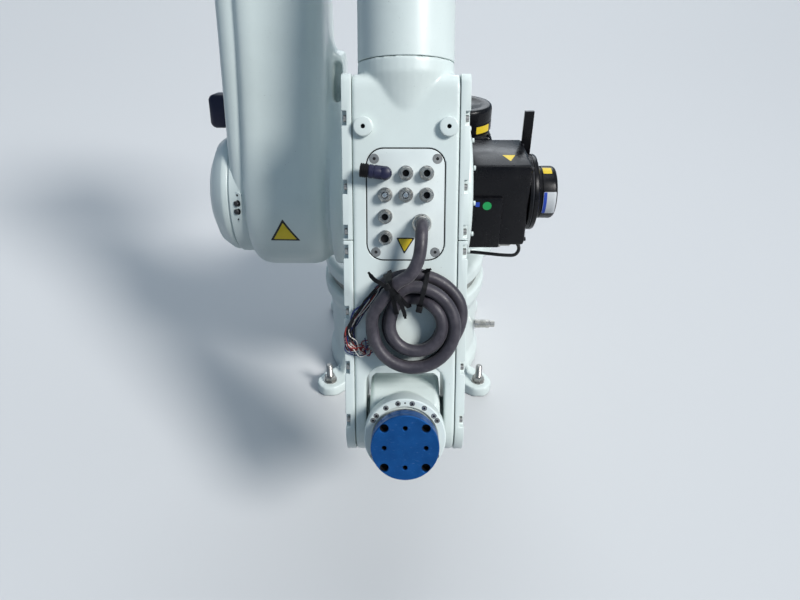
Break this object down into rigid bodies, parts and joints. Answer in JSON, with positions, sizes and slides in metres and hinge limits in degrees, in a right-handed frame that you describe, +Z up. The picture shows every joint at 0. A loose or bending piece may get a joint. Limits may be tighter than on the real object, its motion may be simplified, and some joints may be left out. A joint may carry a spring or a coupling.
{
  "type": "six-axis industrial robot arm",
  "caption": "Floor-standing six-axis robot arm with side-mounted lower arm, tube forearm, flat wrist housing with connector panel and cable, and a blue tool plate.",
  "frame": {"origin": "centre of the base on the floor, on the vertical turning axis", "axes": "+Z up; -Y to the front, where the wrist hangs; +X to the right seen from the front, the side of the shoulder motor"},
  "size_m": [0.6982, 1.0142, 1.6755],
  "materials": {
    "paint": "pale mint enamel on castings, satin",
    "motor": "black motor enamel, semi-gloss",
    "nickel": "nickel plated fittings",
    "steel": "ground steel",
    "blue": "blue anodised",
    "navy": "dark blue moulded plastic",
    "cable": "dark grey cable sheath"
  },
  "bodies": {
    "base": {"base_casting": "paint", "base_rear_panel": "paint", "base_power_connector": "nickel", "base_signal_connector": "nickel", "base_side_fitting": "nickel"},
    "turret": {"turning_ring": "steel", "turret_casting": "paint", "turret_rear_cover": "paint", "j1_motor": "motor", "j1_motor_cap": "motor", "j2_motor": "motor", "j2_motor_bell": "motor", "j2_motor_encoder": "motor", "j2_motor_plug": "nickel", "j2_motor_cable": "cable", "motor_cable_bracket": "motor"},
    "lower_arm": {"lower_arm_casting": "paint", "lower_arm_shoulder_boss": "paint", "lower_arm_elbow_ring": "paint", "shoulder_cover": "paint", "elbow_side_cover": "paint", "arm_side_terminal": "navy"},
    "upper_arm": {"elbow_casting": "paint", "j3_motor": "motor", "j3_motor_encoder": "motor", "j4_motor": "motor", "j4_motor_encoder": "motor"},
    "forearm": {"forearm_tube": "paint", "wrist_housing": "paint", "housing_rear_cover": "paint", "left_cover_lower": "paint", "left_cover_upper": "paint", "right_cover_lower": "paint", "right_cover_upper": "paint", "connector_panel": "paint", "panel_elbow_fitting": "navy", "cable_gland": "nickel", "cable_lead": "cable", "cable_coil": "cable", "left_front_boss": "paint", "right_front_boss": "paint"},
    "wrist": {"wrist_body": "paint", "wrist_ring": "paint"},
    "flange": {"tool_flange": "steel", "adaptor_plate": "blue"}
  },
  "joints": [
    {"name": "turn", "type": "hinge", "parent": "base", "child": "turret", "pos_m": [0, 0, 0.255], "axis": [0, 0, 1], "range_deg": [-180, 180]},
    {"name": "shoulder", "type": "hinge", "parent": "turret", "child": "lower_arm", "pos_m": [0, -0.15, 0.53], "axis": [1, 0, 0], "range_deg": [-44, 36]},
    {"name": "elbow", "type": "hinge", "parent": "lower_arm", "child": "upper_arm", "pos_m": [0, 0.00265, 1.3153], "axis": [-1, 0, 0], "range_deg": [-4, 250]},
    {"name": "forearm_roll", "type": "hinge", "parent": "upper_arm", "child": "forearm", "pos_m": [0, -0.22801, 1.19688], "axis": [0, -0.3955, -0.9184], "range_deg": [-180, 180]},
    {"name": "wrist_bend", "type": "hinge", "parent": "forearm", "child": "wrist", "pos_m": [0, -0.6014, 0.32986], "axis": [-1, 0, 0], "range_deg": [-190, 10]},
    {"name": "flange_roll", "type": "hinge", "parent": "wrist", "child": "flange", "pos_m": [0, -0.69876, 0.37179], "axis": [0, -0.9184, 0.3955], "range_deg": [-180, 180]}
  ]
}
